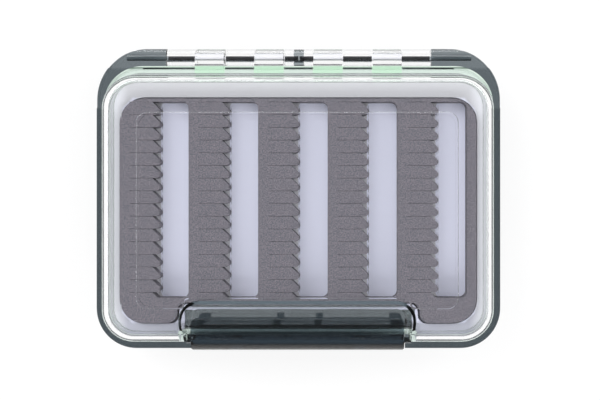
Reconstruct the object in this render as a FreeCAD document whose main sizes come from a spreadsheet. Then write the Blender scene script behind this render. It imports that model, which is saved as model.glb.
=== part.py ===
# Two-sided fly box: a middle frame with a tray, a foam sheet and a clear hinged lid on each side
import FreeCAD, Part
import math
import os
import re
import Sketcher

# Driving sizes in millimetres, all of them cells of the sheet
driving_sizes = {
    # Whole box, closed
    "box_length": 130.0,
    "box_depth": 97.0,
    "box_thickness": 36.0,
    "overrun": 1.0,
    # Middle frame
    "frame_front_inset": 0.2,
    "frame_wall": 2.0,
    "frame_lip_rise": 1.0,
    "seal_half": 5.0,
    "frame_front_radius": 12.9,
    "frame_rear_radius": 16.8,
    "frame_rear_inner_radius": 12.6,
    "lip_rear_setback": 19.5,
    "rear_wall": 1.0,
    "block_drop": 1.0,
    "block_round": 2.6,
    "block_heel_round": 0.25,
    # Hinge
    "barrel_radius": 3.0,
    "hinge_wall_gap": 0.5,
    "hinge_pin_radius": 0.8,
    "pin_clearance": 0.05,
    "rib_width": 3.2,
    "short_knuckle": 3.1,
    "block_width": 22.1,
    "knuckle_gap": 0.3,
    "hinge_pin_reach": 13.0,
    "hinge_pin_parting": 0.4,
    "rib_web_half": 2.0,
    # Lids
    "lid_side_gap": 0.4,
    "lid_rear_setback": 0.3,
    "lid_seat_gap": 0.3,
    "lid_wall": 1.6,
    "dome_round": 7.2,
    "dome_rear_setback": 2.2,
    "rim_flange": 1.7,
    "foot_width": 2.8,
    "foot_height": 2.4,
    "arm_gap": 0.25,
    "arm_back": 1.5,
    "arm_rise": 0.9,
    "arm_round": 1.6,
    "arm_edge_round": 0.3,
    "arm_inner_round": 0.05,
    "arm_root": 0.5,
    # Raised panel on each lid
    "panel_rise": 0.8,
    "panel_side_margin": 11.85,
    "panel_rear_margin": 12.4,
    "panel_recess_margin": 3.45,
    "panel_jog": 3.1,
    "panel_radius": 3.5,
    "jog_radius": 1.5,
    "panel_jog_outset": 0.8,
    "panel_edge_round": 0.6,
    # Recess and catch for the latch
    "recess_end_gap": 0.9,
    "recess_floor": 3.25,
    "recess_radius": 3.5,
    "recess_slant": 22.0,
    "recess_wall": 1.0,
    "ledge_drop": 4.6,
    "notch_end_gap": 1.8,
    "notch_gap": 0.2,
    "notch_radius": 0.6,
    "catch_gap": 0.25,
    "catch_width": 0.8,
    "catch_rise": 1.4,
    "catch_end_gap": 0.3,
    "bead_width": 1.0,
    "bead_rise": 0.5,
    # Gaskets
    "groove_width": 1.1,
    "groove_depth": 1.6,
    "groove_inset": 0.5,
    "gasket_fit": 0.05,
    "gasket_flange": 0.2,
    "gasket_side_lip": 0.2,
    "gasket_rear_lip": 0.9,
    "gasket_width": 1.6,
    "gasket_slot_width": 0.5,
    "gasket_slot_inset": 0.2,
    "gasket_slot_gap": 0.3,
    # Latch bracket in the frame
    "pocket_end_gap": 0.5,
    "pocket_gap": 0.5,
    "bracket_end_wall": 1.1,
    "bracket_wall": 3.8,
    "bracket_web": 4.3,
    "web_half": 4.0,
    "ear_setback": 16.0,
    "ear_width": 3.0,
    "ear_radius": 2.1,
    "latch_pin_reach": 2.0,
    # Latches
    "latch_barrel_radius": 2.3,
    "latch_barrel_gap": 0.3,
    "latch_pin_radius": 0.8,
    "latch_end_margin": 31.2,
    "latch_side_gap": 0.3,
    "latch_plate": 2.6,
    "latch_foot_gap": 0.65,
    "latch_underside_gap": 0.3,
    "latch_top_plate": 2.0,
    "latch_top_depth": 8.9,
    "latch_front_round": 5.4,
    "latch_inner_round": 3.4,
    "latch_edge_round": 0.6,
    "latch_corner_round": 1.8,
    "lobe_width": 4.2,
    "finger_reach": 1.5,
    "finger_place": 6.5,
    "finger_width": 2.3,
    "finger_gap": 0.15,
    "ridge_near": 16.6,
    "ridge_length": 10.8,
    "ridge_radius": 0.25,
    "ridge_setback": 1.3,
    "snap_lip_gap": 0.3,
    "snap_lip_width": 1.0,
    "snap_lip_drop": 0.15,
    # Tray
    "tray_gap": 0.15,
    "tray_floor_half": 0.8,
    "tray_web_gap": 0.2,
    "tray_front_rim": 1.1,
    "tray_jog_wall": 0.9,
    "foam_gap": 0.5,
    # Foam sheets and their tape
    "tape_thickness": 0.2,
    "foam_thickness": 6.8,
    "foam_side_margin": 5.7,
    "foam_rear_margin": 9.0,
    "foam_foot_gap": 0.3,
    "foam_radius": 8.0,
    "foam_jog_radius": 3.0,
    "window_count": 5,
    "window_width": 9.15,
    "window_left_trim": 0.15,
    "window_right_margin": 3.25,
    "window_rear_margin": 1.15,
    "window_front_margin": 1.6,
    "window_radius": 2.0,
    "tooth_count": 16,
    "notch_depth": 2.4,
    "last_notch_margin": 2.2,
    "slit_root": 3.3,
    "tooth_opening": 2.25,
    "slit_width": 0.3,
}

# Places worked out from the driving sizes; x runs to the right, y to the hinge,
# and heights are measured from the mid-plane of the box
places = {
    "mid_height": "box_thickness / 2",
    "box_half": "box_length / 2",
    "frame_front": "frame_front_inset - box_depth / 2",
    "frame_rear": "box_depth / 2",
    "frame_lip_half": "seal_half + frame_lip_rise",
    "block_half_height": "seal_half - block_drop",
    "hinge_y": "frame_rear - barrel_radius",
    "rear_wall_back": "hinge_y - barrel_radius - hinge_wall_gap",
    "rear_wall_front": "rear_wall_back - rear_wall",
    "inner_half": "box_half - frame_wall",
    "inner_front": "frame_front + frame_wall",
    "inner_front_radius": "frame_front_radius - frame_wall",
    "hinge_half_span": "box_half - block_width",
    "knuckle_pitch": "(hinge_half_span - rib_width / 2 - short_knuckle) / 4",
    "lid_half": "inner_half - lid_side_gap",
    "lid_front": "inner_front + lid_side_gap",
    "lid_rear": "rear_wall_back - lid_rear_setback",
    "lid_front_radius": "inner_front_radius - lid_side_gap",
    "lid_rear_radius": "frame_rear_inner_radius - lid_side_gap",
    "rim_bottom": "seal_half + lid_seat_gap",
    "dome_rear": "lid_rear - dome_rear_setback",
    "dome_top": "box_thickness / 2 - panel_rise",
    "latch_front": "0 - box_depth / 2",
    "pivot_y": "latch_front + latch_barrel_radius",
    "latch_pivot_half": "latch_barrel_radius + latch_barrel_gap",
    "latch_half": "box_half - latch_end_margin",
    "latch_foot_half": "latch_pivot_half + ear_radius + latch_foot_gap",
    "ledge_half": "dome_top - ledge_drop",
    "latch_underside": "ledge_half + latch_underside_gap",
    "latch_top": "latch_underside + latch_top_plate",
    "latch_rear": "latch_front + latch_top_depth",
    "catch_front": "latch_rear + catch_gap",
    "catch_half": "latch_half - lobe_width - catch_end_gap",
    "recess_half": "latch_half + recess_end_gap",
    "recess_rear": "catch_front + catch_width + recess_floor",
    "pocket_half": "latch_half + pocket_end_gap",
    "pocket_rear": "pivot_y + latch_barrel_radius + pocket_gap",
    "notch_half": "pocket_half + notch_end_gap",
    "notch_front": "pocket_rear + notch_gap",
    "ear_inner": "pocket_half - ear_setback",
    "bracket_half": "pocket_half + latch_pin_reach + bracket_end_wall",
    "bracket_rear": "pocket_rear + bracket_wall",
    "web_rear": "bracket_rear + bracket_web",
    "foam_bottom": "tray_floor_half + tape_thickness",
    "foam_top": "foam_bottom + foam_thickness",
    "foam_half": "inner_half - foam_side_margin",
    "foam_rear": "rear_wall_front - foam_rear_margin",
    "foam_front": "notch_front + foot_width + foam_foot_gap",
    "foam_center_front": "web_rear + tray_web_gap + tray_front_rim + foam_gap",
    "foam_jog_half": "bracket_half + tray_gap + tray_jog_wall + foam_gap",
    "window_pitch": "(2 * foam_half - window_right_margin + window_left_trim) / window_count",
    "first_face": "window_pitch - window_width - window_left_trim - foam_half",
    "window_rear": "foam_rear - window_rear_margin",
    "window_front": "foam_center_front + window_front_margin",
    "tooth_pitch": "(window_rear - window_front - last_notch_margin) / (tooth_count - 1)",
    "slit_length": "window_pitch - window_width - notch_depth - slit_root",
    "panel_half_length": "lid_half - panel_side_margin",
    "panel_rear": "dome_rear - panel_rear_margin",
    "panel_center_front": "recess_rear + panel_recess_margin",
    "panel_front": "panel_center_front - panel_jog",
    "panel_jog_half": "recess_half + panel_jog_outset",
}

doc = FreeCAD.newDocument("fly_box")
sizes = doc.addObject("Spreadsheet::Sheet", "sizes")
for row, (alias, number) in enumerate(driving_sizes.items(), start=1):
    sizes.set(f"A{row}", alias)
    sizes.set(f"B{row}", str(number))
    sizes.setAlias(f"B{row}", alias)
doc.recompute()


def formula(text):
    """Spell a formula out: a place becomes its own formula and a size becomes its cell."""
    def spell(match):
        word = match.group(0)
        if word == "sqrt":
            return word
        if word in places:
            return "(" + formula(places[word]) + ")"
        return "sizes." + word
    return re.sub(r"[a-z][a-z_]*", spell, text)


def value(text):
    """Number that a formula gives with the sizes as they are."""
    return float(sizes.evalExpression(formula(text)))


def plane_of(body, role):
    """Origin plane of a body, found by its role."""
    for feature in body.Origin.OriginFeatures:
        if feature.Role == role:
            return feature
    raise LookupError(role)


def add_size(sketch, name, kind, places_of_ends, text):
    """Add one dimension to a sketch and bind it to a formula."""
    index = sketch.addConstraint(Sketcher.Constraint(kind, *places_of_ends, value(text)))
    sketch.renameConstraint(index, name)
    sketch.setExpression("Constraints." + name, formula(text))


def place_line(sketch, name, line, kind, text):
    """Bind the distance between a line and the sketch's origin to a formula."""
    if value(text) < 0:
        add_size(sketch, name, kind, (line, 1, -1, 1), f"0 - ({text})")
    else:
        add_size(sketch, name, kind, (-1, 1, line, 1), text)


def draw_outline(sketch, corners):
    """Close an outline of level and upright lines with an arc at each corner, anticlockwise."""
    points = [FreeCAD.Vector(value(across), value(up), 0) for across, up, radius in corners]
    radii = [value(radius) for across, up, radius in corners]
    count = len(corners)
    ways = []
    lines = []
    for index in range(count):
        after = (index + 1) % count
        way = (points[after] - points[index]).normalize()
        start = points[index] + way * radii[index]
        end = points[after] - way * radii[after]
        ways.append(way)
        lines.append(sketch.addGeometry(Part.LineSegment(start, end)))
    for index, (across, up, radius) in enumerate(corners):
        level = abs(ways[index].x) > abs(ways[index].y)
        sketch.addConstraint(Sketcher.Constraint("Horizontal" if level else "Vertical", lines[index]))
        kind, text = ("DistanceY", up) if level else ("DistanceX", across)
        place_line(sketch, f"line_{index}", lines[index], kind, text)
        arrive = ways[index - 1]
        leave = ways[index]
        center = points[index] + (leave - arrive) * radii[index]
        circle = Part.Circle(center, FreeCAD.Vector(0, 0, 1), radii[index])
        angles = [math.atan2(spoke.y, spoke.x) for spoke in (leave * -1, arrive)]
        turns_left = arrive.cross(leave).z > 0
        if not turns_left:
            angles.reverse()
        arc = sketch.addGeometry(Part.ArcOfCircle(circle, angles[0], angles[1]))
        first, last = (1, 2) if turns_left else (2, 1)
        sketch.addConstraint(Sketcher.Constraint("Tangent", lines[index - 1], 2, arc, first))
        sketch.addConstraint(Sketcher.Constraint("Tangent", arc, last, lines[index], 1))
        add_size(sketch, f"radius_{index}", "Radius", (arc,), radius)


def padded_outline(name, plane, corners, start, length):
    """Body padded from an outline on one of its origin planes, from a start along the normal."""
    body = doc.addObject("PartDesign::Body", name)
    sketch = body.newObject("Sketcher::SketchObject", name + "_outline")
    sketch.AttachmentSupport = [(plane_of(body, plane), "")]
    sketch.MapMode = "FlatFace"
    sketch.setExpression("AttachmentOffset.Base.z", formula(start))
    draw_outline(sketch, corners)
    pad = body.newObject("PartDesign::Pad", name + "_pad")
    pad.Profile = sketch
    pad.setExpression("Length", formula(length))
    return body


def slab(name, corners, heights):
    """Level slab with an outline in plan, between two heights from the mid-plane."""
    low, high = heights
    return padded_outline(name, "XY_Plane", corners, f"mid_height + ({low})", f"({high}) - ({low})")


def flared_slab(name, corners, heights, slant):
    """Slab whose walls lean outwards on the way up, by an angle in degrees."""
    body = slab(name, corners, heights)
    body.Tip.setExpression("TaperAngle", formula(slant))
    return body


def beam(name, corners, across):
    """Beam along x with an outline of y and height, between two values of x."""
    left, right = across
    raised = [(y, f"mid_height + ({height})", radius) for y, height, radius in corners]
    return padded_outline(name, "YZ_Plane", raised, left, f"({right}) - ({left})")


def round_top(body, radius):
    """Round the edges of the highest level face of a body."""
    doc.recompute()
    pad = body.Tip
    faces = pad.Shape.Faces
    highest = max(range(len(faces)), key=lambda index: faces[index].CenterOfMass.z)
    fillet = body.newObject("PartDesign::Fillet", body.Name + "_round")
    fillet.Base = (pad, [f"Face{highest + 1}"])
    fillet.setExpression("Radius", formula(radius))
    body.Tip = fillet
    return body


def box(name, across, along, heights):
    """Plain box between pairs of x, y and height from the mid-plane."""
    block = doc.addObject("Part::Box", name)
    raised = [f"mid_height + ({height})" for height in heights]
    for size, axis, (low, high) in zip(("Length", "Width", "Height"), "xyz", (across, along, raised)):
        block.setExpression(size, formula(f"({high}) - ({low})"))
        block.setExpression("Placement.Base." + axis, formula(low))
    return block


def rod(name, across, y, height, radius):
    """Round bar along x between two values of x."""
    left, right = across
    bar = doc.addObject("Part::Cylinder", name)
    bar.Placement = FreeCAD.Placement(FreeCAD.Vector(), FreeCAD.Rotation(FreeCAD.Vector(0, 1, 0), 90))
    bar.setExpression("Radius", formula(radius))
    bar.setExpression("Height", formula(f"({right}) - ({left})"))
    bar.setExpression("Placement.Base.x", formula(left))
    bar.setExpression("Placement.Base.y", formula(y))
    bar.setExpression("Placement.Base.z", formula(f"mid_height + ({height})"))
    return bar


def fuse(name, pieces):
    """Join several objects into one."""
    joined = doc.addObject("Part::MultiFuse", name)
    joined.Shapes = pieces
    joined.Refine = True
    return joined


def cut(name, base, tool):
    """Take one object away from another."""
    rest = doc.addObject("Part::Cut", name)
    rest.Base = base
    rest.Tool = tool
    rest.Refine = True
    return rest


def common(name, first, second):
    """Keep only what two objects share."""
    shared = doc.addObject("Part::Common", name)
    shared.Base = first
    shared.Tool = second
    return shared


def both_sides(name, across, along, heights):
    """The same box on the left and on the right of the box's middle."""
    near, far = across
    right = box(name + "_right", (near, far), along, heights)
    left = box(name + "_left", (f"0 - ({far})", f"0 - ({near})"), along, heights)
    return [left, right]


def plan(half, front, rear, front_radius, rear_radius):
    """Corners of a plain rounded rectangle in plan."""
    return [
        (f"0 - ({half})", front, front_radius),
        (half, front, front_radius),
        (half, rear, rear_radius),
        (f"0 - ({half})", rear, rear_radius),
    ]


def stepped_plan(half, front, rear, step_half, step_front, radii):
    """Corners of a rounded rectangle whose front steps back in the middle."""
    front_radius, rear_radius, outer_radius, inner_radius = radii
    return [
        (f"0 - ({half})", front, front_radius),
        (f"0 - ({step_half})", front, outer_radius),
        (f"0 - ({step_half})", step_front, inner_radius),
        (step_half, step_front, inner_radius),
        (step_half, front, outer_radius),
        (half, front, front_radius),
        (half, rear, rear_radius),
        (f"0 - ({half})", rear, rear_radius),
    ]


def rim_plan(inset, rear_lip="0"):
    """Outline of a lid's rim, moved inwards by an inset; the rear edge may stand out further."""
    radii = (
        f"lid_front_radius - ({inset})",
        f"lid_rear_radius - ({inset})",
        "notch_radius",
        "notch_radius",
    )
    return stepped_plan(
        f"lid_half - ({inset})",
        f"lid_front + ({inset})",
        f"lid_rear - ({inset}) + ({rear_lip})",
        f"notch_half + ({inset})",
        f"notch_front + ({inset})",
        radii,
    )


def foam_plan(grow):
    """Outline of a foam sheet, grown by a gap."""
    radii = (
        f"foam_radius + ({grow})",
        f"foam_radius + ({grow})",
        "foam_jog_radius",
        "foam_jog_radius",
    )
    return stepped_plan(
        f"foam_half + ({grow})",
        f"foam_front - ({grow})",
        f"foam_rear + ({grow})",
        f"foam_jog_half - ({grow})",
        f"foam_center_front - ({grow})",
        radii,
    )


def finish_piece(name, piece):
    """Give a finished piece its label and put it on the list of pieces."""
    piece.Label = name
    finished[name] = piece


def turn_over(piece):
    """Turn a piece over about the y axis at mid-height, from the upper side to the lower."""
    half_turn = FreeCAD.Rotation(FreeCAD.Vector(0, 1, 0), 180)
    piece.Placement = FreeCAD.Placement(FreeCAD.Vector(), half_turn)
    piece.setExpression("Placement.Base.z", formula("box_thickness"))


def finish_pair(name, piece):
    """Finish a piece of the upper side and the same piece turned over for the lower side."""
    finish_piece("top_" + name, piece)
    copy = doc.addObject("Part::Compound", name + "_turned_over")
    copy.Links = [piece]
    turn_over(copy)
    finish_piece("bottom_" + name, copy)


def hinge_knuckles(owner):
    """Pairs of x, to the right of the middle, that one lid's knuckles fill."""
    first = "rib_width / 2 + short_knuckle"
    edges = ["rib_width / 2"] + [f"{first} + {step} * knuckle_pitch" for step in range(5)]
    start = 1 if owner == "top" else 0
    pairs = []
    for index in range(start, len(edges) - 1, 2):
        pairs.append((f"{edges[index]} + knuckle_gap / 2", f"{edges[index + 1]} - knuckle_gap / 2"))
    return pairs


finished = {}


def make_middle_frame():
    """Smoky ring that everything hangs on, with hinge blocks behind and the latch bracket in front."""
    lip = ("0 - frame_lip_half", "frame_lip_half")
    outer = slab(
        "frame_outer",
        plan("box_half", "frame_front", "frame_rear", "frame_front_radius", "frame_rear_radius"),
        lip,
    )
    inner_radii = ("inner_front_radius", "frame_rear_inner_radius", "notch_radius", "notch_radius")
    inner = slab(
        "frame_inner",
        stepped_plan(
            "inner_half", "inner_front", "rear_wall_front", "bracket_half", "bracket_rear", inner_radii
        ),
        ("0 - frame_lip_half - overrun", "frame_lip_half + overrun"),
    )
    high = ("seal_half", "frame_lip_half + overrun")
    low = ("0 - frame_lip_half - overrun", "0 - seal_half")
    lowered = []
    for index, band in enumerate((high, low)):
        shelf = plan(
            "inner_half", "inner_front", "rear_wall_back", "inner_front_radius", "frame_rear_inner_radius"
        )
        lowered.append(slab(f"frame_shelf_{index}", shelf, band))
        lowered.append(
            box(
                f"frame_rear_lip_{index}",
                ("0 - box_half - overrun", "box_half + overrun"),
                ("frame_rear - lip_rear_setback", "frame_rear + overrun"),
                band,
            )
        )
    behind_wall = box(
        "frame_behind_wall",
        ("0 - box_half - overrun", "box_half + overrun"),
        ("rear_wall_back", "frame_rear + overrun"),
        ("0 - frame_lip_half - overrun", "frame_lip_half + overrun"),
    )
    pocket = slab(
        "frame_pocket",
        plan("pocket_half", "frame_front - overrun", "pocket_rear", "notch_radius", "notch_radius"),
        ("0 - frame_lip_half - overrun", "frame_lip_half + overrun"),
    )
    ring = cut("frame_ring", outer, fuse("frame_hollows", [inner, behind_wall, pocket] + lowered))

    # Corner blocks that carry the outer ends of the hinge pins
    blocks_plan = slab(
        "frame_blocks_plan",
        plan("box_half", "frame_front", "frame_rear", "frame_front_radius", "frame_rear_radius"),
        ("0 - block_half_height", "block_half_height"),
    )
    block_profile = [
        ("rear_wall_front", "0 - block_half_height", "block_heel_round"),
        ("frame_rear", "0 - block_half_height", "block_round"),
        ("frame_rear", "block_half_height", "block_round"),
        ("rear_wall_front", "block_half_height", "block_heel_round"),
    ]
    blocks = []
    for name, across in (
        ("left", ("0 - box_half", "0 - hinge_half_span")),
        ("right", ("hinge_half_span", "box_half")),
    ):
        blocks.append(beam(f"frame_block_{name}", block_profile, across))
    corner_blocks = common("frame_corner_blocks", blocks_plan, fuse("frame_block_pair", blocks))

    # Thin rib in the middle of the hinge line
    half_rib = ("0 - rib_width / 2", "rib_width / 2")
    rib = rod("frame_rib", half_rib, "hinge_y", "0", "barrel_radius")
    rib_web = box(
        "frame_rib_web", half_rib, ("rear_wall_front", "hinge_y"), ("0 - rib_web_half", "rib_web_half")
    )

    # Web between the bracket and the tray
    web = box(
        "frame_web",
        ("0 - bracket_half", "bracket_half"),
        ("bracket_rear - bracket_wall / 2", "web_rear"),
        ("0 - web_half", "web_half"),
    )

    # Ears that hold the latch pins between the latches' barrels
    ears = []
    for side, sign in (("top", ""), ("bottom", "0 - ")):
        for hand, across in (
            ("left", ("0 - ear_inner - ear_width", "0 - ear_inner")),
            ("right", ("ear_inner", "ear_inner + ear_width")),
        ):
            ears.append(
                rod(f"frame_ear_{side}_{hand}", across, "pivot_y", f"{sign}latch_pivot_half", "ear_radius")
            )
    ear_height = "latch_pivot_half + ear_radius"
    ears += both_sides(
        "frame_ear_web",
        ("ear_inner", "ear_inner + ear_width"),
        ("pivot_y", "pocket_rear + bracket_wall / 2"),
        (f"0 - ({ear_height})", ear_height),
    )

    solid = fuse("frame_solid", [ring, corner_blocks, rib, rib_web, web] + ears)

    # Bores for the hinge pins and the latch pins
    reach = "hinge_half_span + hinge_pin_reach + pin_clearance"
    hinge_bore = rod(
        "frame_hinge_bore",
        (f"0 - ({reach})", reach),
        "hinge_y",
        "0",
        "hinge_pin_radius + pin_clearance",
    )
    latch_bores = []
    for side, sign in (("top", ""), ("bottom", "0 - ")):
        reach = "pocket_half + latch_pin_reach + pin_clearance"
        latch_bores.append(
            rod(
                f"frame_latch_bore_{side}",
                (f"0 - ({reach})", reach),
                "pivot_y",
                f"{sign}latch_pivot_half",
                "latch_pin_radius + pin_clearance",
            )
        )
    frame = cut("frame_bored", solid, fuse("frame_bores", [hinge_bore] + latch_bores))
    finish_piece("middle_frame", frame)


def make_inner_tray():
    """Pale tray with one floor for both sides and a thick rim that the gaskets close on."""
    radii = (
        "inner_front_radius - tray_gap",
        "frame_rear_inner_radius - tray_gap",
        "notch_radius",
        "notch_radius",
    )
    outer = slab(
        "tray_outer",
        stepped_plan(
            "inner_half - tray_gap",
            "inner_front + tray_gap",
            "rear_wall_front - tray_gap",
            "bracket_half + tray_gap",
            "web_rear + tray_web_gap",
            radii,
        ),
        ("0 - seal_half", "seal_half"),
    )
    upper = slab("tray_upper_pocket", foam_plan("foam_gap"), ("tray_floor_half", "seal_half + overrun"))
    lower = slab(
        "tray_lower_pocket",
        foam_plan("foam_gap"),
        ("0 - seal_half - overrun", "0 - tray_floor_half"),
    )
    tray = cut("tray", outer, fuse("tray_pockets", [upper, lower]))
    finish_piece("inner_tray", tray)


def cut_windows(body, prefix, top, depth, grow):
    """Cut the row of windows into a sheet, each grown by a gap."""
    window = body.newObject("Sketcher::SketchObject", prefix + "_window")
    window.AttachmentSupport = [(plane_of(body, "XY_Plane"), "")]
    window.MapMode = "FlatFace"
    window.setExpression("AttachmentOffset.Base.z", formula(f"mid_height + ({top})"))
    left = f"first_face - ({grow})"
    right = f"first_face + window_width + ({grow})"
    front = f"window_front - ({grow})"
    rear = f"window_rear + ({grow})"
    corners = [(left, front), (right, front), (right, rear), (left, rear)]
    draw_outline(window, [(x, y, "window_radius") for x, y in corners])
    window_cut = body.newObject("PartDesign::Pocket", prefix + "_window_cut")
    window_cut.Profile = window
    window_cut.setExpression("Length", formula(depth))
    windows = body.newObject("PartDesign::LinearPattern", prefix + "_windows")
    windows.Originals = [window_cut]
    windows.Direction = (window, ["H_Axis"])
    windows.setExpression("Length", formula("window_pitch * (window_count - 1)"))
    windows.setExpression("Occurrences", formula("window_count"))
    body.Tip = windows


def make_foam():
    """Foam sheet with windows; one edge of each window is a row of slit teeth that hold the hooks."""
    body = slab("foam_body", foam_plan("0"), ("foam_bottom", "foam_top"))
    cut_windows(body, "foam", "foam_top", "foam_thickness", "0")

    # One tooth: a slanted notch that opens into the window, with a slit behind it
    tooth = body.newObject("Sketcher::SketchObject", "foam_tooth")
    tooth.AttachmentSupport = [(plane_of(body, "XY_Plane"), "")]
    tooth.MapMode = "FlatFace"
    tooth.setExpression("AttachmentOffset.Base.z", formula("mid_height + foam_top"))
    draw_tooth(tooth)
    tooth_cut = body.newObject("PartDesign::Pocket", "foam_tooth_cut")
    tooth_cut.Profile = tooth
    tooth_cut.setExpression("Length", formula("foam_thickness"))
    teeth = body.newObject("PartDesign::MultiTransform", "foam_teeth")
    rows = body.newObject("PartDesign::LinearPattern", "foam_tooth_rows")
    rows.Direction = (tooth, ["V_Axis"])
    rows.Reversed = True
    rows.setExpression("Length", formula("tooth_pitch * (tooth_count - 1)"))
    rows.setExpression("Occurrences", formula("tooth_count"))
    columns = body.newObject("PartDesign::LinearPattern", "foam_tooth_columns")
    columns.Direction = (tooth, ["H_Axis"])
    columns.setExpression("Length", formula("window_pitch * (window_count - 1)"))
    columns.setExpression("Occurrences", formula("window_count"))
    teeth.Originals = [tooth_cut]
    teeth.Transformations = [rows, columns]
    body.Tip = teeth
    finish_pair("foam", body)


def draw_tooth(sketch):
    """Draw the notch and its slit as one outline with six corners."""
    corners = [
        ("first_face - notch_depth - slit_length", "window_rear"),
        ("first_face - notch_depth - slit_length", "window_rear - slit_width"),
        ("first_face - notch_depth", "window_rear - slit_width"),
        ("first_face", "window_rear - slit_width - notch_depth"),
        ("first_face + tooth_opening", "window_rear - slit_width - notch_depth"),
        ("first_face + tooth_opening", "window_rear"),
    ]
    points = [FreeCAD.Vector(value(x), value(y), 0) for x, y in corners]
    count = len(corners)
    for index in range(count):
        sketch.addGeometry(Part.LineSegment(points[index], points[(index + 1) % count]))
    for index, (x, y) in enumerate(corners):
        sketch.addConstraint(
            Sketcher.Constraint("Coincident", (index - 1) % count, 2, index, 1)
        )
        for axis, kind, text in (("x", "DistanceX", x), ("y", "DistanceY", y)):
            place_line(sketch, f"corner_{index}_{axis}", index, kind, text)


def make_foam_tape():
    """Thin double-sided tape that holds a foam sheet on the tray's floor."""
    sheet = slab("tape_sheet", foam_plan("0 - foam_gap"), ("tray_floor_half", "foam_bottom"))
    cut_windows(sheet, "tape", "foam_bottom", "tape_thickness", "foam_gap")
    finish_pair("foam_tape", sheet)


def make_lid_shell():
    """Clear dome with a raised panel, a recess for its latch and a foot with the gasket's groove."""
    prefix = "lid_"
    dome_rear_radius = "lid_rear_radius - dome_rear_setback / 2"
    dome = round_top(
        slab(
            prefix + "dome",
            plan("lid_half", "lid_front", "dome_rear", "lid_front_radius", dome_rear_radius),
            ("rim_bottom", "dome_top"),
        ),
        "dome_round",
    )
    flange = slab(prefix + "flange", rim_plan("0"), ("rim_bottom", "rim_bottom + rim_flange"))
    panel_radii = ("panel_radius", "panel_radius", "jog_radius", "jog_radius")
    panel_plan = stepped_plan(
        "panel_half_length",
        "panel_front",
        "panel_rear",
        "panel_jog_half",
        "panel_center_front",
        panel_radii,
    )
    panel = round_top(
        slab(prefix + "panel", panel_plan, ("dome_top - lid_wall / 2", "dome_top + panel_rise")),
        "panel_edge_round",
    )
    panel_hollow = slab(
        prefix + "panel_hollow",
        stepped_plan(
            "panel_half_length - panel_rise",
            "panel_front + panel_rise",
            "panel_rear - panel_rise",
            "panel_jog_half + panel_rise",
            "panel_center_front + panel_rise",
            panel_radii,
        ),
        ("dome_top - lid_wall - overrun", "dome_top - lid_wall + panel_rise"),
    )

    # Recess for the latch's top and, in front of it, the notch for the latch's plate
    before_front = "lid_front - overrun - recess_radius"
    recess = flared_slab(
        prefix + "recess",
        plan("recess_half", before_front, "recess_rear", "recess_radius", "recess_radius"),
        ("ledge_half", "dome_top + panel_rise + overrun"),
        "recess_slant",
    )
    notch = slab(
        prefix + "notch",
        plan("notch_half", before_front, "notch_front", "notch_radius", "notch_radius"),
        ("rim_bottom - overrun", "dome_top + overrun"),
    )
    grown_recess = flared_slab(
        prefix + "grown_recess",
        plan(
            "recess_half + recess_wall",
            before_front,
            "recess_rear + recess_wall",
            "recess_radius",
            "recess_radius + recess_wall",
        ),
        ("ledge_half - lid_wall", "dome_top + overrun"),
        "recess_slant",
    )
    grown_notch = slab(
        prefix + "grown_notch",
        plan(
            "notch_half + lid_wall",
            before_front,
            "notch_front + lid_wall",
            "notch_radius",
            "notch_radius",
        ),
        ("0", "dome_top + overrun"),
    )
    hollow = round_top(
        slab(
            prefix + "hollow",
            plan(
                "lid_half - lid_wall",
                "lid_front + lid_wall",
                "dome_rear - lid_wall",
                "lid_front_radius - lid_wall",
                f"{dome_rear_radius} - lid_wall",
            ),
            ("rim_bottom - overrun", "dome_top - lid_wall"),
        ),
        "dome_round - lid_wall",
    )
    blank = fuse(prefix + "blank", [dome, flange, panel])
    outside = cut(prefix + "outside", blank, fuse(prefix + "steps", [recess, notch]))
    core = fuse(prefix + "core", [hollow, panel_hollow])
    inside = cut(prefix + "inside", core, fuse(prefix + "walls", [grown_recess, grown_notch]))
    shell = cut(prefix + "shell", outside, inside)

    # Foot that widens the rim, with the gasket's groove in it
    foot = cut(
        prefix + "foot",
        slab(prefix + "foot_outer", rim_plan("0"), ("rim_bottom", "rim_bottom + foot_height")),
        slab(
            prefix + "foot_inner",
            rim_plan("foot_width"),
            ("rim_bottom - overrun", "rim_bottom + foot_height + overrun"),
        ),
    )
    groove = cut(
        prefix + "groove",
        slab(
            prefix + "groove_outer",
            rim_plan("groove_inset"),
            ("rim_bottom - overrun", "rim_bottom + groove_depth"),
        ),
        slab(
            prefix + "groove_inner",
            rim_plan("groove_inset + groove_width"),
            ("rim_bottom - 2 * overrun", "rim_bottom + groove_depth + overrun"),
        ),
    )

    # Catch ribs behind the latch's edge, and the bead that the latch's lip snaps over
    catch_heights = ("ledge_half - lid_wall / 2", "ledge_half + catch_rise")
    catch_along = ("catch_front", "catch_front + catch_width")
    finger_half = "finger_width / 2 + finger_gap"
    catches = both_sides(
        prefix + "catch", (f"finger_place + {finger_half}", "catch_half"), catch_along, catch_heights
    )
    catches.append(
        box(
            prefix + "catch_middle",
            (f"0 - finger_place + {finger_half}", f"finger_place - ({finger_half})"),
            catch_along,
            catch_heights,
        )
    )
    catches.append(
        box(
            prefix + "catch_bead",
            ("0 - catch_half", "catch_half"),
            ("notch_front", "notch_front + bead_width"),
            ("ledge_half - lid_wall / 2", "ledge_half + bead_rise"),
        )
    )

    plain = fuse(prefix + "plain", [shell, foot] + catches)
    return cut(prefix + "shell_grooved", plain, groove)


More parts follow.
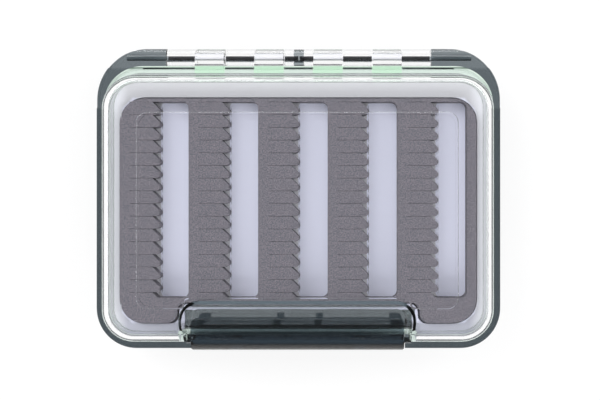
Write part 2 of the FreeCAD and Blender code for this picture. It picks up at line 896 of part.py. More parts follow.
def make_lid(side, shell):
    """Lid made of the shell and its own knuckles on the shared hinge line."""
    prefix = side + "_lid_"

    # Each knuckle has an arm that stands up behind the frame's rear wall and runs to the dome
    arm_front = "hinge_y - barrel_radius + arm_gap"
    arm_top = "rim_bottom + rim_flange + arm_rise"
    arm_profile = [
        (arm_front, "0", "arm_edge_round"),
        ("hinge_y + arm_back", "0", "arm_edge_round"),
        ("hinge_y + arm_back", arm_top, "arm_round"),
        ("dome_rear - lid_wall / 2", arm_top, "arm_inner_round"),
        ("dome_rear - lid_wall / 2", "rim_bottom + groove_depth + gasket_fit", "arm_inner_round"),
        ("lid_rear - arm_root", "rim_bottom + groove_depth + gasket_fit", "arm_inner_round"),
        ("lid_rear - arm_root", "rim_bottom + gasket_fit", "arm_inner_round"),
        (arm_front, "rim_bottom + gasket_fit", "arm_edge_round"),
    ]
    knuckles = []
    for index, (near, far) in enumerate(hinge_knuckles(side)):
        for hand, across in (("right", (near, far)), ("left", (f"0 - ({far})", f"0 - ({near})"))):
            tag = f"{prefix}{index}_{hand}_"
            knuckles.append(beam(tag + "arm", arm_profile, across))
            knuckles.append(rod(tag + "barrel", across, "hinge_y", "0", "barrel_radius"))
    bore = rod(
        prefix + "bore",
        ("0 - hinge_half_span - overrun", "hinge_half_span + overrun"),
        "hinge_y",
        "0",
        "hinge_pin_radius + pin_clearance",
    )
    lid = cut(prefix + "bored", fuse(prefix + "whole", [shell] + knuckles), bore)
    if side == "bottom":
        turn_over(lid)
    finish_piece(side + "_lid", lid)


def make_gasket():
    """Green rubber gasket: a bead in the lid's groove and a thin flange that closes on the rim."""
    prefix = "gasket_"
    flange_top = "rim_bottom - gasket_fit"
    flange_bottom = "rim_bottom - gasket_fit - gasket_flange"
    bead_inset = "groove_inset + gasket_fit"
    flange = cut(
        prefix + "flange",
        slab(
            prefix + "flange_outer",
            rim_plan("0 - gasket_side_lip", "gasket_rear_lip - gasket_side_lip"),
            (flange_bottom, flange_top),
        ),
        slab(
            prefix + "flange_inner",
            rim_plan("gasket_width"),
            (f"{flange_bottom} - overrun", f"{flange_top} + overrun"),
        ),
    )
    bead = cut(
        prefix + "bead",
        slab(
            prefix + "bead_outer",
            rim_plan(bead_inset),
            (flange_bottom, "rim_bottom + groove_depth - gasket_fit"),
        ),
        slab(
            prefix + "bead_inner",
            rim_plan(f"{bead_inset} + groove_width - 2 * gasket_fit"),
            (f"{flange_bottom} - overrun", "rim_bottom + groove_depth + overrun"),
        ),
    )

    # Slots between the lid's arms part the rear lip from the rest
    first_arm, second_arm = hinge_knuckles("top")
    slot_along = ("lid_rear - gasket_slot_inset", "lid_rear - gasket_slot_inset + gasket_slot_width")
    slot_heights = (f"{flange_bottom} - overrun", f"{flange_top} + overrun")
    slots = [
        box(
            prefix + "slot_middle",
            (f"gasket_slot_gap - ({first_arm[0]})", f"{first_arm[0]} - gasket_slot_gap"),
            slot_along,
            slot_heights,
        )
    ]
    for name, near, far in (
        ("between", first_arm[1], second_arm[0]),
        ("outer", second_arm[1], "lid_half - lid_rear_radius"),
    ):
        across = (f"{near} + gasket_slot_gap", f"{far} - gasket_slot_gap")
        slots += both_sides(f"{prefix}slot_{name}", across, slot_along, slot_heights)
    slotted = cut(prefix + "slotted", flange, fuse(prefix + "slots", slots))
    finish_pair("gasket", fuse(prefix + "whole", [slotted, bead]))


def make_hinge_pins():
    """Two steel pins that meet in the frame's middle rib."""
    reach = "hinge_half_span + hinge_pin_reach"
    parting = "hinge_pin_parting / 2"
    right = rod("pin_right", (parting, reach), "hinge_y", "0", "hinge_pin_radius")
    left = rod("pin_left", (f"0 - ({reach})", f"0 - {parting}"), "hinge_y", "0", "hinge_pin_radius")
    finish_piece("hinge_pin_right", right)
    finish_piece("hinge_pin_left", left)


def make_latch():
    """Smoky snap latch: barrels on its pin, a front plate and a top that hooks over the lid's ledge."""
    prefix = "latch_"
    across = ("0 - latch_half", "latch_half")
    hook_profile = [
        ("latch_front", "latch_foot_half", "latch_edge_round"),
        ("latch_front + latch_plate", "latch_foot_half", "latch_edge_round"),
        ("latch_front + latch_plate", "latch_underside", "latch_inner_round"),
        ("latch_rear", "latch_underside", "latch_edge_round"),
        ("latch_rear", "latch_top", "latch_edge_round"),
        ("latch_front", "latch_top", "latch_front_round"),
    ]
    hook = beam(prefix + "hook", hook_profile, across)
    finger_profile = [
        ("latch_rear - finger_reach", "latch_underside", "latch_edge_round"),
        ("latch_rear + finger_reach", "latch_underside", "latch_edge_round"),
        ("latch_rear + finger_reach", "latch_top", "latch_edge_round"),
        ("latch_rear - finger_reach", "latch_top", "latch_edge_round"),
    ]
    half_finger = "finger_width / 2"
    fingers = []
    for name, near, far in (
        ("lobe", "latch_half - lobe_width", "latch_half"),
        ("finger", f"finger_place - {half_finger}", f"finger_place + {half_finger}"),
    ):
        fingers.append(beam(f"{prefix}{name}_right", finger_profile, (near, far)))
        fingers.append(beam(f"{prefix}{name}_left", finger_profile, (f"0 - ({far})", f"0 - ({near})")))
    ridge_rise = "sqrt(latch_front_round ^ 2 - ridge_setback ^ 2)"
    ridges = []
    for name, across_ridge in (
        ("right", ("ridge_near", "ridge_near + ridge_length")),
        ("left", ("0 - ridge_near - ridge_length", "0 - ridge_near")),
    ):
        ridges.append(
            rod(
                f"{prefix}ridge_{name}",
                across_ridge,
                "latch_front + latch_front_round - ridge_setback",
                f"latch_top - latch_front_round + {ridge_rise}",
                "ridge_radius",
            )
        )
    lip_front = "notch_front + bead_width + snap_lip_gap"
    snap_lip = box(
        prefix + "snap_lip",
        ("0 - catch_half", "catch_half"),
        (lip_front, f"{lip_front} + snap_lip_width"),
        ("ledge_half + snap_lip_drop", "latch_underside + latch_top_plate / 2"),
    )
    bead_groove = box(
        prefix + "bead_groove",
        ("0 - catch_half - snap_lip_gap", "catch_half + snap_lip_gap"),
        ("notch_front - snap_lip_gap", lip_front),
        ("ledge_half", "ledge_half + bead_rise + latch_underside_gap / 2"),
    )

    # Barrels between the frame's ears, each with a web up to the plate
    outer_barrel = ("ear_inner + ear_width + latch_side_gap", "latch_half - latch_side_gap / 2")
    middle_barrel = ("0 - ear_inner + latch_side_gap", "ear_inner - latch_side_gap")
    spans = [
        outer_barrel,
        (f"0 - ({outer_barrel[1]})", f"0 - ({outer_barrel[0]})"),
        middle_barrel,
    ]
    barrels = []
    for index, span in enumerate(spans):
        barrels.append(
            rod(f"{prefix}barrel_{index}", span, "pivot_y", "latch_pivot_half", "latch_barrel_radius")
        )
        barrels.append(
            box(
                f"{prefix}barrel_web_{index}",
                span,
                ("latch_front", "latch_front + latch_plate"),
                ("latch_pivot_half", "latch_foot_half + latch_plate"),
            )
        )
    whole = fuse(prefix + "whole", [hook, snap_lip] + fingers + ridges + barrels)
    corners = slab(
        prefix + "corners",
        plan(
            "latch_half",
            "latch_front",
            "latch_rear + finger_reach",
            "latch_corner_round / 2",
            "latch_corner_round",
        ),
        ("0", "latch_top + overrun"),
    )
    rounded = common(prefix + "rounded", whole, corners)
    bore = rod(
        prefix + "bore",
        ("0 - latch_half - overrun", "latch_half + overrun"),
        "pivot_y",
        "latch_pivot_half",
        "latch_pin_radius + pin_clearance",
    )
    latch = cut(prefix + "bored", rounded, fuse(prefix + "cuts", [bore, bead_groove]))
    finish_pair("latch", latch)


def make_latch_pin():
    """Steel pin of one latch, held in the bracket's end walls and ears."""
    reach = "pocket_half + latch_pin_reach"
    pin = rod("latch_pin", (f"0 - ({reach})", reach), "pivot_y", "latch_pivot_half", "latch_pin_radius")
    finish_pair("latch_pin", pin)


make_middle_frame()
make_inner_tray()
make_hinge_pins()
make_foam()
make_foam_tape()
lid_shell = make_lid_shell()
make_lid("top", lid_shell)
make_lid("bottom", lid_shell)
make_gasket()
make_latch()
make_latch_pin()
doc.recompute()

# Every object must be sound before anything is written
for item in doc.Objects:
    if "Invalid" in item.State or "Error" in item.State:
        raise RuntimeError(f"{item.Name} failed: {item.State}")
for name, piece in finished.items():
    if piece.Shape.isNull() or not piece.Shape.isValid():
        raise RuntimeError(f"{name} has no sound shape")

os.makedirs("parts", exist_ok=True)
for name, piece in finished.items():
    piece.Shape.exportStep(f"parts/{name}.step")
    bounds = piece.Shape.BoundBox
    print(
        f"{name}: {len(piece.Shape.Solids)} solid, {piece.Shape.Volume:.1f} mm3,",
        f"x {bounds.XMin:.2f} {bounds.XMax:.2f} y {bounds.YMin:.2f} {bounds.YMax:.2f}",
        f"z {bounds.ZMin:.2f} {bounds.ZMax:.2f}",
    )
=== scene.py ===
# Two-sided fly box: finishes, slit foam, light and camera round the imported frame
import bpy
import math
from mathutils import Matrix, Vector


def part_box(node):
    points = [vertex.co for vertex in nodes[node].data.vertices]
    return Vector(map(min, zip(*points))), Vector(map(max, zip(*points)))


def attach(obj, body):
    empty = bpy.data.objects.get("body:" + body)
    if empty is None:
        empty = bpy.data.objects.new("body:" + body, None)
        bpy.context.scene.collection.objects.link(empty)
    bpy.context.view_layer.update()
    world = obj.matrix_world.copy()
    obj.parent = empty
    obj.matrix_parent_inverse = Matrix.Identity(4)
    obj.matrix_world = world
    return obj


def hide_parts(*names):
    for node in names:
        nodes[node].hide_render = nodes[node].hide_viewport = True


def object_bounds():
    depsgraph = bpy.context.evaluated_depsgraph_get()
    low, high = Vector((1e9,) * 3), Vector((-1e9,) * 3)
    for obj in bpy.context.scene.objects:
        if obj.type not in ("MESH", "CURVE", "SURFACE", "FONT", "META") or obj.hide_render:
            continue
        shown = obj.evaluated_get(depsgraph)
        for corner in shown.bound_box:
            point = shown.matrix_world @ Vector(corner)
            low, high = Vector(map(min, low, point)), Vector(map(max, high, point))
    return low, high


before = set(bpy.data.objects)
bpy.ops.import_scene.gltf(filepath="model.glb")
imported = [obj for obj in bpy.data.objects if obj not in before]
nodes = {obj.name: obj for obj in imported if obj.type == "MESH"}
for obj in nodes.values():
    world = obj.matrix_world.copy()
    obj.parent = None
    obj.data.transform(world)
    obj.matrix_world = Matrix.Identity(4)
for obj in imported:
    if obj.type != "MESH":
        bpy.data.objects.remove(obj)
cad_low, cad_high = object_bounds()
middle = (cad_low + cad_high) / 2


# Camera: straight above the closed box, with the hinge at the top of the picture.
# The lens stands a little to the right of the box, and the picture is shifted back.
# The scale is taken where the frame's edge is widest, at the top of its ring.
picture_width = 600
picture_height = 400
box_left = 96.7
box_right = 500.2
box_top = 47.5
box_bottom = 348.7
lens_height = 0.48
lens_right = 0.018
sensor_width = 36.0
nearest_seen = 0.01
farthest_seen = 10.0
ring_low, ring_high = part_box("middle_frame")
metres_per_px = (ring_high.x - ring_low.x) / (box_right - box_left)
view_width = picture_width * metres_per_px
lens_distance = middle.z + lens_height - ring_high.z
across = (picture_width / 2 - (box_left + box_right) / 2) * metres_per_px
along = ((box_top + box_bottom) / 2 - picture_height / 2) * metres_per_px
lens = bpy.data.cameras.new("camera")
lens.sensor_width = sensor_width
lens.lens = lens.sensor_width * lens_distance / view_width
lens.shift_x = (across - lens_right) / view_width
lens.clip_start = nearest_seen
lens.clip_end = farthest_seen
camera = bpy.data.objects.new("camera", lens)
camera.location = (lens_right, middle.y + along, middle.z + lens_height)
bpy.context.scene.collection.objects.link(camera)
bpy.context.scene.camera = camera


# Sheet of white paper that the box lies on. The eye sees it as plain white paper,
# and the box's own shadow stays on it.
paper_size = 3.0
paper_glow = 0.8
paper_color = (0.9, 0.9, 0.9, 1)
paper_roughness = 0.9
full_white = (1, 1, 1, 1)


def start_material(name):
    """New material with its node tree and its main shader."""
    material = bpy.data.materials.new(name)
    material.use_nodes = True
    tree = material.node_tree
    return material, tree, tree.nodes["Principled BSDF"]


def calculate(tree, operation, first, second):
    """Result of a maths step on two numbers or sockets."""
    node = tree.nodes.new("ShaderNodeMath")
    node.operation = operation
    for socket, source in zip(node.inputs, (first, second)):
        if isinstance(source, bpy.types.NodeSocket):
            tree.links.new(source, socket)
        else:
            socket.default_value = source
    return node.outputs["Value"]


def seen_share(tree, share):
    """A share of a glow, only for rays that come from the eye, also through or off clear plastic."""
    path = tree.nodes.new("ShaderNodeLightPath")
    seen = calculate(tree, "MAXIMUM", path.outputs["Is Camera Ray"], path.outputs["Is Transmission Ray"])
    seen = calculate(tree, "MAXIMUM", seen, path.outputs["Is Glossy Ray"])
    return calculate(tree, "MULTIPLY", seen, share)


def white_paper():
    material, tree, shader = start_material("white_paper")
    shader.inputs["Base Color"].default_value = paper_color
    shader.inputs["Roughness"].default_value = paper_roughness
    glow = tree.nodes.new("ShaderNodeEmission")
    glow.inputs["Color"].default_value = full_white
    mix = tree.nodes.new("ShaderNodeMixShader")
    tree.links.new(seen_share(tree, paper_glow), mix.inputs["Fac"])
    tree.links.new(shader.outputs["BSDF"], mix.inputs[1])
    tree.links.new(glow.outputs["Emission"], mix.inputs[2])
    tree.links.new(mix.outputs["Shader"], tree.nodes["Material Output"].inputs["Surface"])
    return material


half_paper = paper_size / 2
paper_mesh = bpy.data.meshes.new("paper")
paper_corners = [(-half_paper, -half_paper, 0), (half_paper, -half_paper, 0)]
paper_corners += [(half_paper, half_paper, 0), (-half_paper, half_paper, 0)]
paper_mesh.from_pydata(paper_corners, [], [(0, 1, 2, 3)])
paper_mesh.materials.append(white_paper())
paper = bpy.data.objects.new("paper", paper_mesh)
bpy.context.scene.collection.objects.link(paper)


# Studio: a pale room and three soft lamps. Gloss and clear plastic see its walls white
# at the sides and behind, and darker in front and overhead.
room_light = 0.62
room_white = 1.0
room_gleam = 1.4
low_gleam = 6.0
low_top = 0.1
low_end = 0.19
room_glow = 0.7
room_dark = 0.2
room_color = (0.98, 0.985, 1.0, 1)
wall_top = 0.45
wall_end = 0.9
front_end = -0.7
front_start = -0.1
front_share = 0.1
bpy.context.scene.view_settings.view_transform = "Standard"
room = bpy.data.worlds.new("room")
bpy.context.scene.world = room
room.use_nodes = True
room_tree = room.node_tree
backdrop = room_tree.nodes["Background"]
backdrop.inputs["Color"].default_value = room_color


def spread(tree, source, from_low, from_high, to_low, to_high):
    """Carry a value from one range over to another, and hold it at the ends."""
    node = tree.nodes.new("ShaderNodeMapRange")
    node.inputs["From Min"].default_value = from_low
    node.inputs["From Max"].default_value = from_high
    node.inputs["To Min"].default_value = to_low
    node.inputs["To Max"].default_value = to_high
    tree.links.new(source, node.inputs["Value"])
    return node.outputs["Result"]


way = room_tree.nodes.new("ShaderNodeTexCoord")
way_parts = room_tree.nodes.new("ShaderNodeSeparateXYZ")
room_tree.links.new(way.outputs["Generated"], way_parts.inputs["Vector"])
walls = spread(room_tree, way_parts.outputs["Z"], wall_top, wall_end, 1.0, 0.0)
behind = spread(room_tree, way_parts.outputs["Y"], front_end, front_start, front_share, 1.0)
white_walls = calculate(room_tree, "MULTIPLY", walls, behind)
gleam = spread(room_tree, white_walls, 0.0, 1.0, room_dark - room_light, room_gleam - room_light)
glow = spread(room_tree, white_walls, 0.0, 1.0, room_dark - room_light, room_glow - room_light)
low_walls = spread(room_tree, way_parts.outputs["Z"], low_top, low_end, low_gleam, 0.0)
gleam = calculate(room_tree, "ADD", gleam, calculate(room_tree, "MULTIPLY", low_walls, behind))
path = room_tree.nodes.new("ShaderNodeLightPath")
through = path.outputs["Is Transmission Ray"]
mirror = calculate(room_tree, "SUBTRACT", path.outputs["Is Glossy Ray"], through)
mirror = calculate(room_tree, "MAXIMUM", mirror, 0.0)
strength = calculate(room_tree, "MULTIPLY", path.outputs["Is Camera Ray"], room_white - room_light)
for seen, light in ((mirror, gleam), (through, glow)):
    part = calculate(room_tree, "MULTIPLY", seen, light)
    strength = calculate(room_tree, "ADD", strength, part)
strength = calculate(room_tree, "ADD", strength, room_light)
room_tree.links.new(strength, backdrop.inputs["Strength"])

# Each lamp has its name, its place and size in metres, and its power in watts
for lamp_name, lamp_place, lamp_size, lamp_power in (
    ("key_lamp", (-0.55, 0.35, 0.75), 0.6, 5.6),
    ("fill_lamp", (0.65, 0.1, 0.6), 0.6, 4.0),
    ("front_lamp", (0.05, -0.75, 0.55), 0.5, 3.0),
):
    lamp_data = bpy.data.lights.new(lamp_name, "AREA")
    lamp_data.shape = "SQUARE"
    lamp_data.size = lamp_size
    lamp_data.energy = lamp_power
    lamp = bpy.data.objects.new(lamp_name, lamp_data)
    lamp.location = lamp_place
    lamp.rotation_euler = (middle - Vector(lamp_place)).to_track_quat("-Z", "Y").to_euler()
    lamp.visible_glossy = False
    lamp.visible_transmission = False
    bpy.context.scene.collection.objects.link(lamp)


# Middle frame: an injection-moulded ring of smoke-tinted plastic. Everything hangs on it,
# with the hinge blocks at its rear corners and the latches' bracket in front.
frame_tint = (0.30, 0.36, 0.39, 1)
frame_density = 300.0
frame_polish = (0.03, 0.09)
frame_passing = (0.8, 0.82, 0.83, 1)
noise_detail = 3.0
noise_low = 0.3
noise_high = 0.7
plastic_bending = 1.58
plastic_wear_scale = 120.0
plastic_ripple_scale = 90.0
plastic_ripple = 0.000006


def dress(node, material):
    """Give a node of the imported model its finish."""
    mesh = nodes[node].data
    mesh.materials.clear()
    mesh.materials.append(material)


def place_on(tree, scale):
    """Fine noise that stays with the piece, at a number of grains to the metre."""
    coordinates = tree.nodes.new("ShaderNodeTexCoord")
    noise = tree.nodes.new("ShaderNodeTexNoise")
    noise.inputs["Scale"].default_value = scale
    noise.inputs["Detail"].default_value = noise_detail
    tree.links.new(coordinates.outputs["Object"], noise.inputs["Vector"])
    return noise


def vary_roughness(tree, shader, noise, low, high):
    """Let the roughness wander between two values."""
    wander = spread(tree, noise.outputs["Fac"], noise_low, noise_high, low, high)
    tree.links.new(wander, shader.inputs["Roughness"])


def raise_grain(tree, shader, noise, height):
    """Raise the noise into a fine surface relief of a height in metres."""
    bump = tree.nodes.new("ShaderNodeBump")
    bump.inputs["Distance"].default_value = height
    tree.links.new(noise.outputs["Fac"], bump.inputs["Height"])
    tree.links.new(bump.outputs["Normal"], shader.inputs["Normal"])


def roughen(tree, shader, wear, roughness, grain, relief):
    """Wandering roughness and a fine relief, each with its number of grains to the metre."""
    vary_roughness(tree, shader, place_on(tree, wear), *roughness)
    raise_grain(tree, shader, place_on(tree, grain), relief)


def see_through_plastic(name, polish, passing, tint=None, density=0.0, bending=plastic_bending):
    """Plastic that bends and mirrors what the eye sees, and lets light straight through."""
    material, tree, shader = start_material(name)
    shader.inputs["Base Color"].default_value = full_white
    shader.inputs["Transmission Weight"].default_value = 1.0
    shader.inputs["IOR"].default_value = bending
    roughen(tree, shader, plastic_wear_scale, polish, plastic_ripple_scale, plastic_ripple)
    clear = tree.nodes.new("ShaderNodeBsdfTransparent")
    clear.inputs["Color"].default_value = passing
    path = tree.nodes.new("ShaderNodeLightPath")
    straight = calculate(tree, "MAXIMUM", path.outputs["Is Shadow Ray"], path.outputs["Is Diffuse Ray"])
    mix = tree.nodes.new("ShaderNodeMixShader")
    tree.links.new(straight, mix.inputs["Fac"])
    tree.links.new(shader.outputs["BSDF"], mix.inputs[1])
    tree.links.new(clear.outputs["BSDF"], mix.inputs[2])
    output = tree.nodes["Material Output"]
    tree.links.new(mix.outputs["Shader"], output.inputs["Surface"])
    if tint is not None:
        volume = tree.nodes.new("ShaderNodeVolumeAbsorption")
        volume.inputs["Color"].default_value = tint
        volume.inputs["Density"].default_value = density
        tree.links.new(volume.outputs["Volume"], output.inputs["Volume"])
    return material


smoke_plastic = see_through_plastic(
    "smoke_plastic", frame_polish, frame_passing, frame_tint, frame_density
)
dress("middle_frame", smoke_plastic)


# Tray: pale lavender plastic with one floor for both sides. Its thick rim round the foam is
# painted in grey shade, darkest in front, lighter at the rear and lightest at the sides.
tray_floor_color = (0.82, 0.84, 0.98, 1)
rim_front_shade = (0.45, 0.46, 0.52, 1)
rim_rear_shade = (0.53, 0.535, 0.55, 1)
rim_side_shade = (0.70, 0.71, 0.74, 1)
rim_side_start = 0.0550
rim_side_end = 0.0590
rim_start = (0.0562, 0.0315, -0.0395)
rim_rear_corner = 0.0850
rim_front_corner = 0.0931
rim_fade = 0.0012
rim_front_end = -0.036
rim_rear_end = 0.040
tray_bending = 1.49
tray_wear_scale = 300.0
tray_roughness = (0.35, 0.5)
tray_grain_scale = 2500.0
fine_relief = 0.00001


def place_parts(tree):
    """Place of a point on its piece, as three numbers."""
    coordinates = tree.nodes.new("ShaderNodeTexCoord")
    parts = tree.nodes.new("ShaderNodeSeparateXYZ")
    tree.links.new(coordinates.outputs["Object"], parts.inputs["Vector"])
    return parts.outputs


def outside_the_foam(tree):
    """Zero on the tray's floor and one on its rim."""
    parts = place_parts(tree)
    side, rear, front = rim_start
    size = calculate(tree, "ABSOLUTE", parts["X"], 0.0)
    beside = spread(tree, size, side, side + rim_fade, 0.0, 1.0)
    behind = spread(tree, parts["Y"], rear, rear + rim_fade, 0.0, 1.0)
    before = spread(tree, parts["Y"], front, front - rim_fade, 0.0, 1.0)
    outwards = calculate(tree, "ADD", size, parts["Y"])
    rear_corner = spread(tree, outwards, rim_rear_corner, rim_rear_corner + rim_fade, 0.0, 1.0)
    outwards = calculate(tree, "SUBTRACT", size, parts["Y"])
    front_corner = spread(tree, outwards, rim_front_corner, rim_front_corner + rim_fade, 0.0, 1.0)
    result = beside
    for part in (behind, before, rear_corner, front_corner):
        result = calculate(tree, "MAXIMUM", result, part)
    return result


def blend(tree, factor, first, second):
    """Colour between two colours, each given as a value or a socket."""
    node = tree.nodes.new("ShaderNodeMix")
    node.data_type = "RGBA"
    tree.links.new(factor, node.inputs["Factor"])
    for name, source in (("A", first), ("B", second)):
        socket = [item for item in node.inputs if item.name == name and item.type == "RGBA"][0]
        if isinstance(source, bpy.types.NodeSocket):
            tree.links.new(source, socket)
        else:
            socket.default_value = source
    return [item for item in node.outputs if item.type == "RGBA"][0]


def lavender_plastic():
    material, tree, shader = start_material("lavender_plastic")
    parts = place_parts(tree)
    # The rim's colour is painted shade: darker towards the front and lighter at the sides.
    to_the_rear = spread(tree, parts["Y"], rim_front_end, rim_rear_end, 0.0, 1.0)
    painted_rim_shade = blend(tree, to_the_rear, rim_front_shade, rim_rear_shade)
    size = calculate(tree, "ABSOLUTE", parts["X"], 0.0)
    at_side = spread(tree, size, rim_side_start, rim_side_end, 0.0, 1.0)
    painted_rim_shade = blend(tree, at_side, painted_rim_shade, rim_side_shade)
    color = blend(tree, outside_the_foam(tree), tray_floor_color, painted_rim_shade)
    tree.links.new(color, shader.inputs["Base Color"])
    shader.inputs["IOR"].default_value = tray_bending
    roughen(tree, shader, tray_wear_scale, tray_roughness, tray_grain_scale, fine_relief)
    return material


dress("inner_tray", lavender_plastic())


# Tape: two layers of thin double-sided tape that hold the foam sheets on the tray's floor.
# Only its cut edge shows, at the rim of each window.
tape_color = (0.62, 0.62, 0.66, 1)
tape_wear_scale = 800.0
tape_roughness = (0.4, 0.6)
tape_grain_scale = 1500.0


def clear_tape():
    material, tree, shader = start_material("clear_tape")
    shader.inputs["Base Color"].default_value = tape_color
    roughen(tree, shader, tape_wear_scale, tape_roughness, tape_grain_scale, fine_relief)
    return material


tape_finish = clear_tape()
dress("top_foam_tape", tape_finish)
dress("bottom_foam_tape", tape_finish)


# Foam sheets: closed-cell foam, die-cut with five long windows. One edge of each window
# is a row of slit teeth with slanted noses, and a hook's bend is pushed into the slits.
foam_half = 0.0573
foam_rear = 0.032
foam_front = -0.0401
foam_center_front = -0.0335
foam_jog_half = 0.03895
foam_radius = 0.008
foam_jog_radius = 0.003
foam_edge_round = 0.0001
window_count = 5
window_pitch = 0.0223
window_width = 0.00915
window_radius = 0.002
window_face = -0.0443
window_rear = 0.03085
window_front = -0.0319
tooth_count = 16
tooth_pitch = 0.00407
tooth_slant = 0.0024
tooth_nose_round = 0.0011
tooth_heel_round = 0.0012
slit_length = 0.00745
slit_width = 0.00006
arc_steps = 8
bevel_steps = 2
bevel_from_angle = 60
weld_reach = 0.000002
foam_cell_scale = 2400.0
foam_blotch_scale = 500.0
foam_cell_range = (0.36, 0.66)
foam_cell_dark = (0.086, 0.090, 0.103, 1)
foam_cell_light = (0.206, 0.188, 0.212, 1)
foam_blotch_range = (0.35, 0.65)
foam_blotch_dark = (0.84, 0.86, 0.88, 1)
foam_blotch_light = (1.1, 1.06, 1.06, 1)
foam_blotch_share = 0.5
foam_roughness = (0.8, 0.95)
foam_relief = 0.00006


def rounded_path(corners, closed):
    """Points of a path whose corners are rounded, each corner given as x, y and radius."""
    points = []
    count = len(corners)
    for index, (x, y, radius) in enumerate(corners):
        corner = Vector((x, y))
        if radius == 0 or (not closed and index in (0, count - 1)):
            points.append(corner)
            continue
        before = (Vector(corners[index - 1][:2]) - corner).normalized()
        after = (Vector(corners[(index + 1) % count][:2]) - corner).normalized()
        half_angle = before.angle(after) / 2
        reach = radius / math.tan(half_angle)
        center = corner + (before + after).normalized() * radius / math.sin(half_angle)
        first = corner + before * reach - center
        last = corner + after * reach - center
        turn = first.angle_signed(last)
        steps = max(2, round(arc_steps * abs(turn) / (math.pi / 2)))
        for step in range(steps + 1):
            spoke = first.copy()
            spoke.rotate(Matrix.Rotation(-turn * step / steps, 2))
            points.append(center + spoke)
    return points


def line_mesh(name, points, closed):
    """Mesh of edges along a path, level at height zero."""
    mesh = bpy.data.meshes.new(name)
    count = len(points)
    edges = [(index, index + 1) for index in range(count - 1)]
    if closed:
        edges.append((count - 1, 0))
    mesh.from_pydata([(point.x, point.y, 0) for point in points], edges, [])
    piece = bpy.data.objects.new(name, mesh)
    bpy.context.scene.collection.objects.link(piece)
    return piece


def foam_outline():
    corners = [
        (-foam_half, foam_front, foam_radius),
        (-foam_jog_half, foam_front, foam_jog_radius),
        (-foam_jog_half, foam_center_front, foam_jog_radius),
        (foam_jog_half, foam_center_front, foam_jog_radius),
        (foam_jog_half, foam_front, foam_jog_radius),
        (foam_half, foam_front, foam_radius),
        (foam_half, foam_rear, foam_radius),
        (-foam_half, foam_rear, foam_radius),
    ]
    return line_mesh("foam_outline", rounded_path(corners, True), True)


def one_tooth():
    """Edge of one tooth: the slit above it, its slanted nose, its face and its heel."""
    slit_end = -tooth_slant - slit_length
    corners = [
        (-tooth_slant, 0, 0),
        (slit_end, 0, 0),
        (slit_end, -slit_width, 0),
        (-tooth_slant, -slit_width, 0),
        (0, -slit_width - tooth_slant, tooth_nose_round),
        (0, -tooth_pitch, tooth_heel_round),
        (-tooth_slant, -tooth_pitch, 0),
    ]
    return line_mesh("one_tooth", rounded_path(corners, False), False)


def window_sides():
    """The rest of a window's edge, from the last slit round to the first."""
    slit_end = -tooth_slant - slit_length
    last = -tooth_pitch * (tooth_count - 1)
    front = window_front - window_rear
    slant_end = last - slit_width - front - tooth_slant
    corners = [
        (-tooth_slant, last, 0),
        (slit_end, last, 0),
        (slit_end, last - slit_width, 0),
        (-tooth_slant, last - slit_width, 0),
        (slant_end, front, tooth_heel_round / 2),
        (window_width, front, window_radius),
        (window_width, 0, window_radius),
        (-tooth_slant, 0, 0),
    ]
    return line_mesh("window_sides", rounded_path(corners, False), False)


